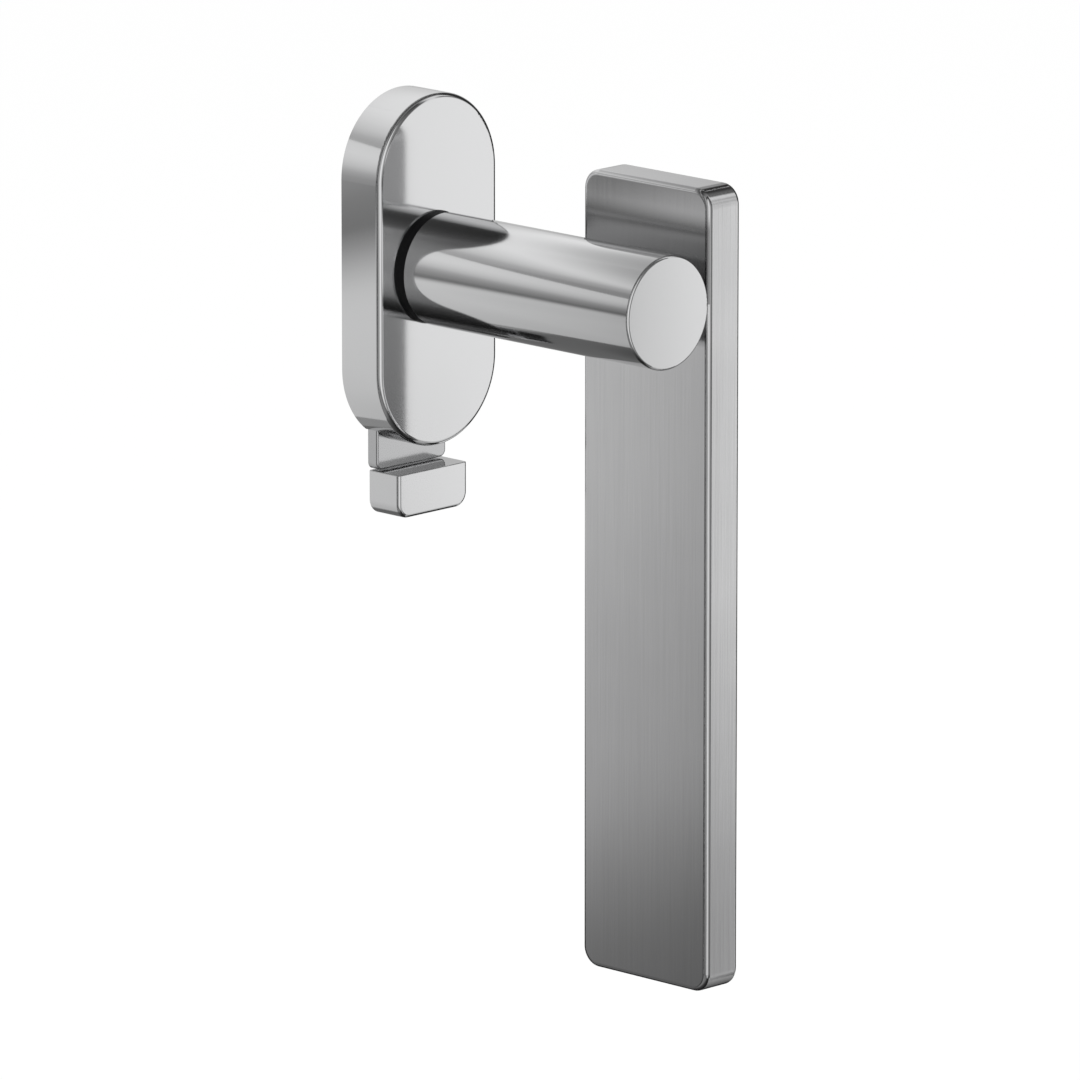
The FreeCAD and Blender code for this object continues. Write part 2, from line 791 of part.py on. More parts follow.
def index_cam(p):
    """Round disc with four flats for the springs and a notch for the lock in each flat."""
    body = new_body("index_cam")
    outline = face_on(body, "cam_outline", p.cam_back)
    circle(outline, p.cam_radius)
    pad(body, "cam_blank", outline, p.cam_thickness)
    flat = face_on(body, "cam_flat_outline", p.cam_back)
    rectangle(flat, -p.cam_radius, p.cam_radius, -p.cam_diameter, -p.cam_flat)
    around_axis(body, "cam_flats", pocket(body, "cam_flat", flat, p.cam_thickness), 4)
    notch = face_on(body, "cam_notch_outline", p.cam_back)
    half = p.notch_width / 2
    rectangle(notch, -half, half, -p.cam_diameter, -p.notch_root)
    around_axis(body, "cam_notches", pocket(body, "cam_notch", notch, p.cam_thickness), 4)
    hole = face_on(body, "cam_hole_outline", p.cam_back)
    radius = p.spigot_radius + p.seat_gap
    key = p.spigot_key / 2 + p.seat_gap
    rise = (radius.value ** 2 - key.value ** 2) ** 0.5
    angle = Vector(key.value, rise, 0).getAngle(Vector(1, 0, 0))
    top = arc_with_radius(hole, (0, 0), radius, angle, math.pi - angle)
    bottom = arc_with_radius(hole, (0, 0), radius, math.pi + angle, 2 * math.pi - angle)
    k = key.value
    left = hole.addGeometry(Part.LineSegment(Vector(-k, rise, 0), Vector(-k, -rise, 0)), False)
    right = hole.addGeometry(Part.LineSegment(Vector(k, -rise, 0), Vector(k, rise, 0)), False)
    joints = [(top, 2, left, 1), (left, 2, bottom, 1), (bottom, 2, right, 1), (right, 2, top, 1)]
    for joint in joints:
        hole.addConstraint(Sketcher.Constraint("Coincident", *joint))
    for line, end, across in ((left, 1, -key), (left, 2, -key), (right, 1, key), (right, 2, key)):
        rule = Sketcher.Constraint("DistanceX", -1, 1, line, end, across.value)
        bind(hole, f"Constraints[{hole.addConstraint(rule)}]", across)
    pocket(body, "cam_keyed_hole", hole, p.cam_thickness)
    return body


def cam_circlip(p):
    """Open ring in the spigot's groove, behind the cam."""
    body = new_body("cam_circlip")
    back = p.circlip_back + p.run_gap
    thickness = p.circlip_groove - p.run_gap * 2
    inner = p.spigot_radius - p.circlip_bite + p.seat_gap
    outline = face_on(body, "circlip_outline", back)
    circle(outline, inner + p.circlip_wall)
    circle(outline, inner)
    pad(body, "circlip_ring", outline, thickness)
    gap = face_on(body, "circlip_gap", back)
    rectangle(gap, -p.circlip_opening / 2, p.circlip_opening / 2, 0, p.spigot_diameter)
    pocket(body, "circlip_opening", gap, thickness)
    return body


# lock: everything that slides

def lock_slide(p):
    """Plate with a slot round the lower boss, a nose for the cam and a tenon for the button."""
    body = new_body("lock_slide")
    plate = face_on(body, "slide_outline", p.tongue_back)
    rectangle(plate, -p.slide_half, p.slide_half, -p.slide_bottom, -p.bar_top)
    pad(body, "slide_tongue", plate, p.lock_plate - p.tongue_step)
    thick = face_on(body, "slide_thick_outline", p.lock_back)
    rectangle(thick, -p.slide_half, p.slide_half, -p.slide_bottom, -p.thick_top)
    pad(body, "slide_thick_end", thick, p.lock_plate)
    bottom = p.slide_bottom
    round_edges(
        body, "slide_corners",
        lambda e: runs_along(e, Vector(0, 1, 0)) and near(e.BoundBox.ZMin, -bottom),
        p.lock_corner,
    )
    round_edges(
        body, "slide_front_edge",
        lambda e: flat_at_depth(e, p.slide_front) and e.BoundBox.ZMin < -p.thick_top.value,
        p.lock_edge,
    )

    slot = face_on(body, "slide_slot_outline", p.lock_back)
    upright_oval(slot, p.slot_radius, -p.screw_z, -p.slot_low)
    pocket(body, "slide_slot", slot, p.lock_plate)

    notches = face_on(body, "slide_notches_outline", p.lock_back)
    for place in (p.click_middle, p.click_middle + p.lock_travel):
        circle(notches, p.lock_edge_notch, -(p.slide_half + p.free_gap), -place)
    pocket(body, "slide_edge_notches", notches, p.lock_plate)

    nose = face_on(body, "slide_nose_outline", p.tongue_back)
    half = p.nose_width / 2
    rectangle(nose, -half, half, -(p.screw_z - p.slot_radius), -p.nose_top)
    pad(body, "slide_nose", nose, p.nose_front - p.tongue_back)

    tenon_back = p.lock_back + (p.lock_plate - p.tenon_thickness) / 2
    tenon = face_on(body, "slide_tenon_outline", tenon_back)
    rectangle(tenon, -p.tenon_width / 2, p.tenon_width / 2,
              -(p.slide_bottom + p.tenon_length), -(p.slide_bottom - p.overrun))
    pad(body, "slide_tenon", tenon, p.tenon_thickness)
    pins = face_on(body, "slide_pin_places", p.lock_back)
    for side in (-1, 1):
        circle(pins, p.button_pin_diameter / 2 + p.seat_gap, p.button_pin_spacing / 2 * side,
               -(p.slide_bottom + p.tenon_length / 2))
    pocket(body, "slide_pin_holes", pins, p.lock_plate)
    return body


def lock_button(p):
    """Block that the thumb pushes, with a mortise for the slide's tenon."""
    body = new_body("lock_button")
    low = p.button_top + p.button_height
    front = p.lock_back + p.button_depth
    outline = face_on(body, "button_outline", p.lock_back)
    rectangle(outline, -p.slide_half, p.slide_half, -low, -p.button_top)
    pad(body, "button_block", outline, p.button_depth)
    round_edges(
        body, "button_corners",
        lambda e: runs_along(e, Vector(0, 1, 0)) and near(e.BoundBox.ZMin, -low),
        p.button_corner,
    )

    def on_top(edge):
        return near(edge.BoundBox.ZMin, -p.button_top) and near(edge.BoundBox.ZMax, -p.button_top)

    round_edges(
        body, "button_front_edge",
        lambda e: (flat_at_depth(e, front) or flat_at_depth(e, p.lock_back)) and not on_top(e),
        p.button_edge,
    )
    round_edges(body, "button_top_edge", on_top, p.button_top_edge)

    tenon_back = p.lock_back + (p.lock_plate - p.tenon_thickness) / 2
    mortise = face_on(body, "button_mortise_outline", tenon_back - p.seat_gap)
    half = p.tenon_width / 2 + p.seat_gap
    rectangle(mortise, -half, half,
              -(p.slide_bottom + p.tenon_length + p.seat_gap), -(p.slide_bottom - p.overrun))
    pocket(body, "button_mortise", mortise, p.tenon_thickness + p.seat_gap * 2)
    pins = face_on(body, "button_pin_places", p.lock_back)
    for side in (-1, 1):
        circle(pins, p.button_pin_diameter / 2 + p.seat_gap, p.button_pin_spacing / 2 * side,
               -(p.slide_bottom + p.tenon_length / 2))
    pocket(body, "button_pin_holes", pins, p.button_pin_length)
    return body


def button_pins(p):
    """Two pins, driven in from the back through button and tenon."""
    pins = []
    for side in (-1, 1):
        place = (p.button_pin_spacing / 2 * side, -p.lock_back,
                 -(p.slide_bottom + p.tenon_length / 2))
        pins.append(cylinder(
            f"button_pin_{len(pins) + 1}", p.button_pin_diameter / 2,
            p.button_pin_length - p.seat_gap, place, FORWARD,
        ))
    doc.recompute()
    return fused("button_pins", pins)


def check_document():
    """Stops if any object of the document has failed."""
    for thing in doc.Objects:
        if "Invalid" in thing.State or "Error" in thing.State:
            raise RuntimeError(f"{thing.Name} is {thing.State}")


def write_parts(pieces):
    for piece in pieces:
        if piece.Shape.isNull() or not piece.Shape.isValid():
            raise RuntimeError(f"{piece.Label} has no valid shape")
    os.makedirs("parts", exist_ok=True)
    for piece in pieces:
        piece.Shape.exportStep(f"parts/{piece.Label}.step")


def main():
    p = work_out(make_sheet())
    pieces = [
        rose_cover(p),
        base_plate(p),
        neck_bush(p),
        thrust_washer(p),
        index_spring(p, "index_spring_left", -1),
        index_spring(p, "index_spring_right", 1),
        back_plate(p),
        back_plate_screws(p),
        lock_click_spring(p),
        cover_clip(p, "cover_clip_left", -1),
        cover_clip(p, "cover_clip_right", 1),
        neck(p),
        neck_spigot(p),
        grip_bar(p),
        grip_dowel(p, "grip_dowel_front", 1),
        grip_dowel(p, "grip_dowel_rear", -1),
        index_cam(p),
        cam_circlip(p),
        lock_slide(p),
        lock_button(p),
        button_pins(p),
    ]
    doc.recompute()
    check_document()
    write_parts(pieces)


main()
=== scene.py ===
import math

import bpy
from mathutils import Matrix, Vector

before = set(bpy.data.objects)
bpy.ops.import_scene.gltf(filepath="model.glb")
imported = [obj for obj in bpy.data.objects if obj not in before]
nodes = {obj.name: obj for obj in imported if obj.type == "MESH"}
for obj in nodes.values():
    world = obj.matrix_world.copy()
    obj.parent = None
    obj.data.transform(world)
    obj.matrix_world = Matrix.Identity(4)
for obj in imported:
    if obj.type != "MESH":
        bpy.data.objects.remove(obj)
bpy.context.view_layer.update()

MM = 0.001


# camera: the photograph's own view, found from the outlines of the rose, neck and grip

PICTURE = 1080
SENSOR = 36.0
FOCAL_PIXELS = 11849.3
HEADING = math.radians(45.672)
PITCH = math.radians(12.872)
DISTANCE = 2226.4 * MM
AIM = Vector((0, -71.0, 0)) * MM
AIM_PIXEL = (668.23, 313.19)
NEAREST, FARTHEST = 0.1, 50

forward = Vector((math.sin(HEADING) * math.cos(PITCH), math.cos(HEADING) * math.cos(PITCH),
                  -math.sin(PITCH)))
right = Vector((math.cos(HEADING), -math.sin(HEADING), 0))
up = right.cross(forward)
across = (AIM_PIXEL[0] - PICTURE / 2) / FOCAL_PIXELS * DISTANCE
below = (AIM_PIXEL[1] - PICTURE / 2) / FOCAL_PIXELS * DISTANCE
place = AIM - right * across + up * below - forward * DISTANCE

camera_data = bpy.data.cameras.new("camera")
camera_data.sensor_fit = "HORIZONTAL"
camera_data.sensor_width = SENSOR
camera_data.lens = FOCAL_PIXELS / PICTURE * SENSOR
camera_data.clip_start = NEAREST
camera_data.clip_end = FARTHEST
camera = bpy.data.objects.new("camera", camera_data)
bpy.context.scene.collection.objects.link(camera)
camera.matrix_world = Matrix((
    (right.x, up.x, -forward.x, place.x),
    (right.y, up.y, -forward.y, place.y),
    (right.z, up.z, -forward.z, place.z),
    (0, 0, 0, 1),
))
bpy.context.scene.camera = camera


# node helpers

class Graph:
    """A material's or world's nodes, with short calls for those used here."""

    def __init__(self, owner):
        owner.use_nodes = True
        self.tree = owner.node_tree
        self.tree.nodes.clear()

    def add(self, kind, **settings):
        node = self.tree.nodes.new(kind)
        for name, value in settings.items():
            setattr(node, name, value)
        return node

    def link(self, source, target):
        self.tree.links.new(source, target)

    def put(self, socket, value):
        if isinstance(value, bpy.types.NodeSocket):
            self.link(value, socket)
        else:
            socket.default_value = value

    def output(self, shader, kind="ShaderNodeOutputMaterial"):
        self.link(shader.outputs[0], self.add(kind).inputs[0])

    def math(self, operation, first, second=0.0, third=0.0):
        node = self.add("ShaderNodeMath", operation=operation)
        for socket, value in zip(node.inputs, (first, second, third)):
            self.put(socket, value)
        return node.outputs[0]

    def vector(self, operation, first, second=None):
        node = self.add("ShaderNodeVectorMath", operation=operation)
        self.put(node.inputs[0], first)
        if second is not None:
            self.put(node.inputs[1], second)
        return node.outputs[0]

    def split(self, source):
        """A vector's X, Y and Z outputs."""
        node = self.add("ShaderNodeSeparateXYZ")
        self.link(source, node.inputs[0])
        return node.outputs

    def ramp(self, source, stops):
        """Grey values along a factor, given as (position, value) pairs."""
        node = self.add("ShaderNodeValToRGB")
        marks = node.color_ramp.elements
        while len(marks) < len(stops):
            marks.new(0.5)
        for mark, (position, value) in zip(marks, stops):
            mark.position = position
            mark.color = (value, value, value, 1)
        self.link(source, node.inputs[0])
        return node.outputs[0]

    def noise(self, grain, detail, roughness=0.5):
        """Noise over the object's coordinates, with a grain per metre for each axis."""
        where = self.add("ShaderNodeTexCoord")
        node = self.add("ShaderNodeTexNoise")
        self.link(self.vector("MULTIPLY", where.outputs["Object"], grain), node.inputs["Vector"])
        node.inputs["Scale"].default_value = 1.0
        node.inputs["Detail"].default_value = detail
        node.inputs["Roughness"].default_value = roughness
        return node.outputs["Fac"]

    def spread(self, source, low, high, start=0.0, end=1.0, curve="LINEAR"):
        """A value on its way from start to end, as a value from low to high."""
        node = self.add("ShaderNodeMapRange", interpolation_type=curve)
        self.link(source, node.inputs["Value"])
        node.inputs["From Min"].default_value = start
        node.inputs["From Max"].default_value = end
        node.inputs["To Min"].default_value = low
        node.inputs["To Max"].default_value = high
        return node.outputs["Result"]

    def mix(self, factor, first, second):
        """One shader at factor 0 and another at factor 1."""
        node = self.add("ShaderNodeMixShader")
        self.link(factor, node.inputs[0])
        self.link(first.outputs[0], node.inputs[1])
        self.link(second.outputs[0], node.inputs[2])
        return node

    def tint(self, shader, shade, factor):
        """Give a shader its base colour, as a shade times a factor."""
        node = self.add("ShaderNodeVectorMath", operation="SCALE")
        node.inputs[0].default_value = shade
        self.link(factor, node.inputs["Scale"])
        self.link(node.outputs[0], shader.inputs["Base Color"])

    def relief(self, shader, height, depth):
        """Give a shader a bump of a depth in metres."""
        bump = self.add("ShaderNodeBump")
        bump.inputs["Strength"].default_value = 1.0
        bump.inputs["Distance"].default_value = depth
        self.link(height, bump.inputs["Height"])
        self.link(bump.outputs[0], shader.inputs["Normal"])


LINES_DETAIL, LINES_ROUGHNESS = 3.0, 0.6
CLOUD_GRAIN, CLOUD_DETAIL = (60, 60, 60), 2.0
LINES_SHARE, CLOUD_SHARE = 0.65, 0.35


def metal(name, shade, rough, grain, depth, shade_swing, rough_swing, anisotropy=0.0,
          tangent=None, end_grain=1.0, corner=None):
    """A bare metal whose polish or brushing follows the grain's per-axis scale.

    The end grain is how much stronger the shade swings on faces across the turning axis, and
    the corner gives a factor of painted shade that darkens the metal in an inner corner."""
    material = bpy.data.materials.new(name)
    graph = Graph(material)
    shader = graph.add("ShaderNodeBsdfPrincipled")
    graph.output(shader)
    shader.inputs["Metallic"].default_value = 1.0
    lines = graph.noise(grain, LINES_DETAIL, LINES_ROUGHNESS)
    cloud = graph.noise(CLOUD_GRAIN, CLOUD_DETAIL)
    pattern = graph.math("MULTIPLY_ADD", cloud, CLOUD_SHARE,
                         graph.math("MULTIPLY", lines, LINES_SHARE))
    either_way = graph.math("MULTIPLY_ADD", pattern, 2.0, -1.0)
    facing = graph.split(graph.add("ShaderNodeNewGeometry").outputs["Normal"])
    swing = graph.math("MULTIPLY_ADD", graph.math("ABSOLUTE", facing["Y"]),
                       (end_grain - 1) * shade_swing, shade_swing)
    tone = graph.math("MULTIPLY_ADD", either_way, swing, 1.0)
    # the corner factor is painted shade, multiplied into the base colour
    if corner:
        tone = graph.math("MULTIPLY", tone, corner(graph))
    graph.tint(shader, shade, tone)
    graph.link(graph.spread(lines, rough - rough_swing, rough + rough_swing),
               shader.inputs["Roughness"])
    if anisotropy:
        shader.inputs["Anisotropic"].default_value = anisotropy
        graph.link(tangent(graph), shader.inputs["Tangent"])
    graph.relief(shader, lines, depth)
    return material


SPECKLE_DETAIL = 2.0
PLASTIC_SWING = 0.2
PLASTIC_ROUGH_SWING = 0.06
PLASTIC_SPECULAR = 0.1


def plastic(name, shade, rough, grain, depth):
    """A moulded plastic with a fine even texture."""
    material = bpy.data.materials.new(name)
    graph = Graph(material)
    shader = graph.add("ShaderNodeBsdfPrincipled")
    graph.output(shader)
    speckle = graph.noise(grain, SPECKLE_DETAIL)
    graph.tint(shader, shade, graph.spread(speckle, 1 - PLASTIC_SWING, 1 + PLASTIC_SWING))
    graph.link(graph.spread(speckle, rough - PLASTIC_ROUGH_SWING, rough + PLASTIC_ROUGH_SWING),
               shader.inputs["Roughness"])
    shader.inputs["Specular IOR Level"].default_value = PLASTIC_SPECULAR
    graph.relief(shader, speckle, depth)
    return material


UPWARDS = (0, 0, 1)
NUDGE = (0.001, 0, 0)


def level_tangent(graph):
    """A level direction along the surface, across upright brushing.

    The nudge keeps it from vanishing on level faces."""
    where = graph.add("ShaderNodeNewGeometry")
    level = graph.vector("CROSS_PRODUCT", where.outputs["Normal"], UPWARDS)
    return graph.vector("NORMALIZE", graph.vector("ADD", level, NUDGE))


# a painted shadow on the grip's inner face above the neck: its strength and the heights it fades
# over
PAINTED_SHADOW_STRENGTH = 0.42
PAINTED_SHADOW_FROM, PAINTED_SHADOW_TO = 13.8 * MM, 17.6 * MM
FACES_LEFT = -0.5


def painted_shadow_above_neck(graph):
    """Painted shadow on the grip's inner face, close above the neck: the metal's colour made
    darker there.
    """
    where = graph.add("ShaderNodeTexCoord")
    spot = graph.split(where.outputs["Object"])
    facing = graph.split(where.outputs["Normal"])
    fade = graph.spread(spot["Z"], 1 - PAINTED_SHADOW_STRENGTH, 0.0, PAINTED_SHADOW_FROM, PAINTED_SHADOW_TO, "SMOOTHSTEP")
    inner = graph.math("MULTIPLY", graph.math("LESS_THAN", facing["X"], FACES_LEFT),
                       graph.math("GREATER_THAN", spot["Z"], 0.0))
    return graph.math("SUBTRACT", 1.0, graph.math("MULTIPLY", inner, fade))


# materials of the CAD pieces, with their grain per metre and their depth in metres

polished = metal("polished_metal", (0.735, 0.737, 0.742), rough=0.09, grain=(900, 900, 900),
                 depth=2e-7, shade_swing=0.01, rough_swing=0.01)
satin = metal("satin_metal", (0.55, 0.552, 0.557), rough=0.14, grain=(1500, 1500, 1500),
              depth=5e-7, shade_swing=0.02, rough_swing=0.02)
# the grip's brushed metal also carries a painted shadow above the neck
brushed = metal("brushed_metal", (0.66, 0.66, 0.665), rough=0.14, grain=(3000, 3000, 40),
                depth=5e-6, shade_swing=0.13, rough_swing=0.03, anisotropy=0.55,
                tangent=level_tangent, end_grain=1.7, corner=painted_shadow_above_neck)
cast = metal("cast_metal", (0.52, 0.52, 0.53), rough=0.5, grain=(700, 700, 700),
             depth=2e-5, shade_swing=0.08, rough_swing=0.08)
spring = metal("spring_steel", (0.36, 0.37, 0.40), rough=0.28, grain=(300, 300, 3000),
               depth=2e-6, shade_swing=0.05, rough_swing=0.04)
plated = metal("plated_steel", (0.62, 0.62, 0.63), rough=0.3, grain=(1200, 1200, 1200),
               depth=3e-6, shade_swing=0.05, rough_swing=0.05)
black = plastic("black_plastic", (0.004, 0.004, 0.0045), rough=0.5, grain=(4000, 4000, 4000),
                depth=4e-6)

MATERIALS = {
    polished: ["rose_cover", "neck", "lock_button"],
    satin: ["lock_slide"],
    brushed: ["grip_bar"],
    cast: ["base_plate", "index_cam"],
    black: ["neck_bush"],
    spring: ["thrust_washer", "index_spring_left", "index_spring_right", "lock_click_spring",
             "cover_clip_left", "cover_clip_right", "cam_circlip"],
    plated: ["back_plate", "back_plate_screws", "grip_dowel_front", "grip_dowel_rear",
             "neck_spigot", "button_pins"],
}
for material, names in MATERIALS.items():
    for name in names:
        for slot in nodes[name].material_slots:
            slot.material = material


# studio: background, floor, lamps and the cards that the metal mirrors

WHITE = (1, 1, 1, 1)
AMBIENT = (0.92, 0.92, 0.92, 1)
PAPER = (0.95, 0.95, 0.95, 1)
FLOOR_Z = -300.0
FLOOR_HALF = 6000
FLOOR_GLOW = 0.88
WHOLE = ((0, 0), (1, 0), (1, 1), (0, 1))


def shown(obj, camera=False, diffuse=False, shadow=False):
    """Choose what sees a piece of the studio, apart from reflections, which always do."""
    obj.visible_camera = camera
    obj.visible_glossy = True
    obj.visible_diffuse = diffuse
    obj.visible_transmission = camera
    obj.visible_volume_scatter = False
    obj.visible_shadow = shadow


def sheet(name, corner, along, upward, outline=WHOLE):
    """A flat piece from one corner, with its two sides as vectors, in millimetres.

    The outline is given in fractions of the two sides."""
    start, first_side, second_side = (Vector(given) * MM for given in (corner, along, upward))
    points = [start + first_side * s + second_side * t for s, t in outline]
    mesh = bpy.data.meshes.new(name)
    mesh.from_pydata(points, [], [range(len(outline))])
    layer = mesh.uv_layers.new(name="card")
    for loop, spot in zip(layer.data, outline):
        loop.uv = spot
    obj = bpy.data.objects.new(name, mesh)
    bpy.context.scene.collection.objects.link(obj)
    return obj


def background(graph, colour):
    node = graph.add("ShaderNodeBackground")
    node.inputs["Color"].default_value = colour
    node.inputs["Strength"].default_value = 1.0
    return node


def seen_white(graph):
    """1 for camera, glossy and transmission rays, else 0."""
    path = graph.add("ShaderNodeLightPath")
    either = graph.math("MAXIMUM", path.outputs["Is Camera Ray"], path.outputs["Is Glossy Ray"])
    return graph.math("MAXIMUM", either, path.outputs["Is Transmission Ray"])


world = bpy.data.worlds.new("studio")
bpy.context.scene.world = world
graph = Graph(world)
graph.output(graph.mix(seen_white(graph), background(graph, AMBIENT), background(graph, WHITE)),
             "ShaderNodeOutputWorld")

floor = sheet("floor", (-FLOOR_HALF, -FLOOR_HALF, FLOOR_Z), (2 * FLOOR_HALF, 0, 0),
              (0, 2 * FLOOR_HALF, 0))
floor_material = bpy.data.materials.new("floor")
graph = Graph(floor_material)
paper = graph.add("ShaderNodeBsdfDiffuse")
paper.inputs["Color"].default_value = PAPER
bright = graph.add("ShaderNodeEmission")
bright.inputs["Strength"].default_value = 1.0
graph.output(graph.mix(graph.math("MULTIPLY", seen_white(graph), FLOOR_GLOW), paper, bright))
floor.data.materials.append(floor_material)
shown(floor, camera=True, diffuse=True, shadow=True)


def lamp(name, spot, size, power):
    """A soft square lamp aimed at the object, left out of reflections, in metres and watts."""
    data = bpy.data.lights.new(name, "AREA")
    data.shape = "SQUARE"
    data.size = size
    data.energy = power
    obj = bpy.data.objects.new(name, data)
    obj.location = spot
    obj.rotation_mode = "QUATERNION"
    obj.rotation_quaternion = (-Vector(spot)).to_track_quat("-Z", "Y")
    bpy.context.scene.collection.objects.link(obj)
    obj.visible_glossy = False
    obj.visible_camera = False


lamp("key", spot=(-0.8, -1.2, 1.6), size=1.2, power=18.0)
lamp("fill", spot=(1.4, -0.8, 0.9), size=1.2, power=7.0)

EVEN = ((0.0, 1.0), (1.0, 1.0))


def card(name, corner, along, upward, rise, sweep=EVEN, outline=WHOLE):
    """A glowing or dark card that only reflections see.

    The rise is its level from low to high edge, and the sweep a factor on that, sideways."""
    obj = sheet(name, corner, along, upward, outline)
    material = bpy.data.materials.new(name)
    graph = Graph(material)
    spot = graph.split(graph.add("ShaderNodeUVMap", uv_map="card").outputs[0])
    level = graph.math("MULTIPLY", graph.ramp(spot["Y"], rise), graph.ramp(spot["X"], sweep))
    glow = graph.add("ShaderNodeEmission")
    graph.link(level, glow.inputs["Strength"])
    graph.output(glow)
    obj.data.materials.append(material)
    shown(obj)


def at(low, high, stops):
    """Stops given in millimetres, as fractions of the way from low to high."""
    return [((mark - low) / (high - low), value) for mark, value in stops]


def wall(name, depth, left, right, low, high, rise, sweep=None, outline=None):
    """A card across the room, facing front or back, with all its places in millimetres."""
    edges = WHOLE
    if outline:
        edges = [((x - left) / (right - left), (z - low) / (high - low)) for x, z in outline]
    card(name, (left, depth, low), (right - left, 0, 0), (0, 0, high - low),
         at(low, high, rise), at(left, right, sweep) if sweep else EVEN, edges)


# the room's places; cards that overlap lie a little apart, the one to be seen nearer the object
ROOM_LEFT, ROOM_RIGHT = -500, 520
ROOM_FRONT, ROOM_BACK = -322, 62
ROOM_LOW, ROOM_HIGH = -420, 500
CLOTH_LOW, CLOTH_HIGH = -290, 480
SHEET_LOW = -288
BACK_LEFT = -420

# behind the rose: a dark grey wall, with a paler strip low on its right
wall("back_wall", ROOM_BACK, BACK_LEFT, ROOM_RIGHT, low=ROOM_LOW, high=420,
     rise=[(-420, 0.01), (-200, 0.015), (-165, 0.03), (-148, 0.10), (-138, 0.14), (-20, 0.17),
           (150, 0.42), (200, 0.22), (300, 0.12), (420, 0.08)],
     sweep=[(-420, 0.25), (-200, 0.5), (-130, 1.0), (200, 1.0), (240, 0.25), (520, 0.1)])
wall("back_low_right", 61.8, 95, ROOM_RIGHT, low=-200, high=-150,
     rise=[(-200, 0.12), (-150, 0.13)])

# before that wall: three banks of light one above the other, each brightest near its top, and a
# fourth above them that fades upwards; all of them fade to the left
LEFT_FADE = [(-420, 0.15), (-260, 0.19), (-200, 0.28), (-175, 0.45), (-142, 0.77),
             (-130, 0.82), (-111, 0.90), (-85, 1.0), (90, 1.0)]
wall("bank_low", 61, BACK_LEFT, 90, low=-290, high=-10,
     rise=[(-290, 0.12), (-215, 0.15), (-190, 0.18), (-170, 0.23), (-158, 0.31), (-150, 0.38),
           (-142, 0.45), (-134, 0.50), (-118, 0.53), (-100, 0.575), (-81, 0.63), (-69, 0.66),
           (-40, 0.69), (-30, 0.715), (-25, 0.71), (-22, 0.68), (-19, 0.59), (-16, 0.47),
           (-13, 0.34), (-10, 0.24)],
     sweep=LEFT_FADE,
     outline=[(-420, -290), (10, -290), (-15, -215), (-60, -180), (-51, -144), (-29, -117),
              (-13, -98), (-6, -87), (6, -79), (40, -59), (90, -36), (90, -10), (-420, -10)])
wall("bank_low_rim", 61.5, -30, 100, low=-130, high=-40,
     rise=[(-130, 0.30), (-40, 0.30)],
     outline=[(-29, -124), (8, -99), (19, -85), (48, -66), (92, -48), (40, -56), (-20, -90)])
wall("bank_middle", 61, BACK_LEFT, 90, low=-10, high=75,
     rise=[(-10, 0.20), (-6, 0.23), (-3, 0.25), (0, 0.30), (7, 0.345), (18, 0.46), (29, 0.66),
           (40, 0.77), (51, 0.825), (61, 0.81), (75, 0.80)],
     sweep=LEFT_FADE)

# the third bank slopes down to the right, and its levels follow the slope
HIGH_LEFT = -200
HIGH_LOW, HIGH_TOP = 40.0, 165.0
HIGH_LIFT = 75.0
card("bank_high", (HIGH_LEFT, 60.8, HIGH_LOW + HIGH_LIFT), along=(200, 0, -100),
     upward=(0, 0, HIGH_TOP - HIGH_LOW),
     rise=at(HIGH_LOW, HIGH_TOP, [
         (40, 0.34), (53, 0.35), (58, 0.40), (62, 0.45), (67, 0.47), (75, 0.53), (80, 0.61),
         (86, 0.68), (91, 0.73), (97, 0.77), (103, 0.82), (110, 0.86), (118, 0.91), (125, 0.94),
         (165, 0.95)]),
     sweep=at(HIGH_LEFT, 0, [(-200, 0.27), (-175, 0.45), (-142, 0.77), (-130, 0.82),
                             (-111, 0.90), (-85, 1.0), (0, 1.0)]),
     outline=((0, -0.33), (1, 0.40), (1, 0.79), (0, -0.008)))
wall("bank_top", 60.9, HIGH_LEFT, 0, low=110, high=165,
     rise=[(110, 0.93), (114, 0.91), (121, 0.85), (131, 0.70), (142, 0.53), (150, 0.44),
           (165, 0.40)],
     sweep=[(-200, 0.30), (-140, 0.60), (-90, 0.82), (-60, 0.95), (-35, 1.0), (0, 1.03)])

# at their right, partly before them: one tall bank that slopes down and fades to the right
SLANT_LOW, SLANT_TOP = -60.0, 160.0
SLANT_WIDTH = 240
card("bank_high_right", (0, 60, SLANT_LOW), along=(SLANT_WIDTH, 0, -72),
     upward=(0, 0, SLANT_TOP - SLANT_LOW),
     rise=at(SLANT_LOW, SLANT_TOP, [
         (-60, 0.15), (-45, 0.21), (-37, 0.31), (-25, 0.37), (-12, 0.42), (0, 0.53), (30, 0.60),
         (48, 0.56), (57, 0.58), (67, 0.71), (75, 0.73), (82, 0.79), (90, 0.86), (98, 0.93),
         (106, 0.95), (116, 0.91), (124, 0.82), (133, 0.68), (141, 0.57), (160, 0.42)]),
     sweep=at(0, SLANT_WIDTH, [(0, 1.0), (95, 1.0), (106, 0.92), (118, 0.78), (132, 0.72),
                               (190, 0.5), (240, 0.2)]))

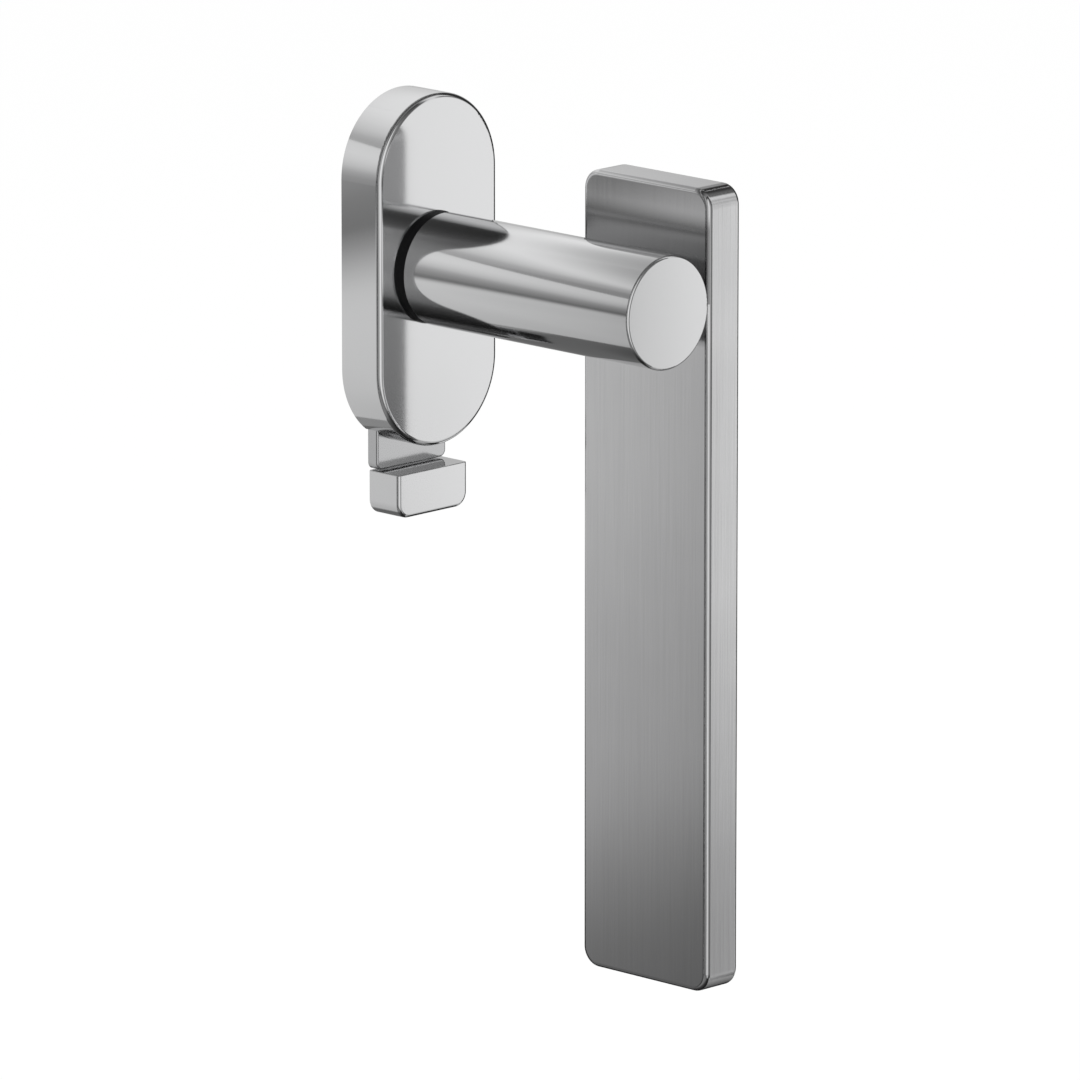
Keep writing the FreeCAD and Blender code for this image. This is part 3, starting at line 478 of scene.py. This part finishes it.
# in front on the right: a large bank, a narrow one at its upper left, one before its lower part
# and one above it
wall("front_bank", -320, 235, ROOM_RIGHT, low=-300, high=100,
     rise=[(-300, 0.47), (-245, 0.47), (-225, 0.49), (-207, 0.53), (-199, 0.58), (-191, 0.65),
           (-175, 0.75), (-160, 0.84), (-143, 0.91), (-111, 0.97), (-60, 1.0), (0, 0.98),
           (30, 0.80), (44, 0.60), (55, 0.34), (63, 0.22), (100, 0.20)],
     sweep=[(235, 0.62), (246, 0.74), (255, 0.80), (262, 0.84), (267, 0.93), (280, 0.97),
            (300, 0.95), (325, 1.0), (520, 1.0)])
wall("front_bank_top", -319, 235, 325, low=20, high=230,
     rise=[(20, 0.95), (70, 0.93), (120, 0.88), (160, 0.80), (190, 0.76), (230, 0.82)],
     sweep=[(235, 0.65), (270, 1.0), (325, 0.96)],
     outline=[(235, 20), (292, 20), (292, 110), (325, 110), (325, 230), (235, 230)])
wall("front_low_bank", -319, 306, ROOM_RIGHT, low=-300, high=-115,
     rise=[(-300, 0.75), (-220, 0.70), (-180, 0.85), (-146, 1.0), (-115, 1.0)],
     sweep=[(306, 0.86), (315, 0.92), (327, 0.98), (520, 1.0)],
     outline=[(345, -300), (520, -300), (520, -115), (306, -115), (306, -175)])
wall("front_high_bank", -320, 190, ROOM_RIGHT, low=100, high=ROOM_HIGH,
     rise=[(100, 0.22), (185, 0.24), (225, 0.80), (340, 0.95), (420, 0.65), (500, 0.50)],
     sweep=[(190, 0.2), (259, 0.9), (300, 1.0), (520, 1.0)])

# behind them: a wall that brightens to the left, and a grey one beside it
wall("front_middle", ROOM_FRONT, -100, ROOM_RIGHT, low=ROOM_LOW, high=ROOM_HIGH,
     rise=[(-420, 0.01), (-330, 0.015), (-290, 0.05), (-240, 0.12), (-180, 0.20), (60, 0.20),
           (150, 0.12), (220, 0.12), (280, 0.08), (340, 0.03), (500, 0.02)],
     sweep=[(-100, 4.2), (-60, 3.8), (-30, 2.9), (5, 2.2), (50, 1.6), (100, 1.1), (160, 0.85),
            (520, 0.85)])
wall("front_left", ROOM_FRONT, ROOM_LEFT, -100, low=ROOM_LOW, high=ROOM_HIGH,
     rise=[(-420, 0.15), (-310, 0.18), (-270, 0.24), (-200, 0.31), (220, 0.32), (300, 0.22),
           (330, 0.12), (500, 0.05)])

# in front on the left: two banks that the upright rounded edges catch, the second kept clear of
# what the rose's face sees by way of the neck
card("side_bank", (-321, -265, -330), along=(-82, 160, 0), upward=(0, 0, 810),
     rise=at(-330, 480, [(-330, 0.15), (-260, 0.35), (-215, 0.7), (-170, 0.95), (-120, 1.0),
                         (300, 1.0), (360, 0.85), (430, 0.7), (480, 0.5)]),
     sweep=((0, 0.6), (1, 0.3)))
wall("front_upright", -321, -300, -60, low=-330, high=330,
     rise=[(-330, 0.95), (330, 0.95)],
     sweep=[(-300, 1.05), (-100, 1.0), (-60, 0.8)],
     outline=[(-60, -300), (-100, -285), (-200, -230), (-262, -170), (-296, -100), (-300, 0),
              (-296, 90), (-268, 155), (-222, 215), (-170, 262), (-100, 300), (-60, 310)])

# dark cloth at both sides, below and above, and two brighter sheets on the cloth below
along_room = (0, ROOM_BACK - ROOM_FRONT, 0)
across_room = (ROOM_RIGHT - ROOM_LEFT, 0, 0)
up_room = (0, 0, ROOM_HIGH - ROOM_LOW)
card("cloth_left", (ROOM_LEFT, ROOM_BACK, ROOM_LOW), (0, ROOM_FRONT - ROOM_BACK, 0), up_room,
     rise=((0.0, 0.1), (1.0, 0.15)))
card("cloth_right", (ROOM_RIGHT, ROOM_FRONT, ROOM_LOW), along_room, up_room,
     rise=((0.0, 0.02), (1.0, 0.04)))
card("cloth_below", (ROOM_LEFT, ROOM_FRONT, CLOTH_LOW), across_room, along_room,
     rise=((0.0, 0.008), (1.0, 0.012)),
     sweep=at(ROOM_LEFT, ROOM_RIGHT, [(-500, 25), (-160, 22), (-134, 16), (-93, 7), (-72, 6),
                                      (-9, 2.5), (60, 1), (520, 1)]))
card("cloth_above", (ROOM_LEFT, ROOM_FRONT, CLOTH_HIGH), across_room, along_room,
     rise=((0.0, 0.35), (0.35, 0.18), (0.53, 0.10), (0.7, 0.04), (1.0, 0.10)))
card("sheet_below", (252, -320, SHEET_LOW), along=(198, 0, 0), upward=(0, 380, 0),
     rise=at(-320, 60, [(-320, 0.50), (-225, 0.60), (-205, 0.1), (-115, 0.1), (-90, 0.8),
                        (60, 0.75)]))
card("sheet_below_left", (110, -290, SHEET_LOW), along=(140, 0, 0), upward=(0, 350, 0),
     rise=at(-290, 60, [(-290, 0.46), (-181, 0.44), (-135, 0.40), (-94, 0.30), (-56, 0.22),
                        (-2, 0.13), (60, 0.08)]),
     outline=((0, 0), (1, 0), (1, 0.17), (0.64, 0.34), (0.57, 1), (0, 1)))

bpy.context.scene.view_settings.view_transform = "Standard"
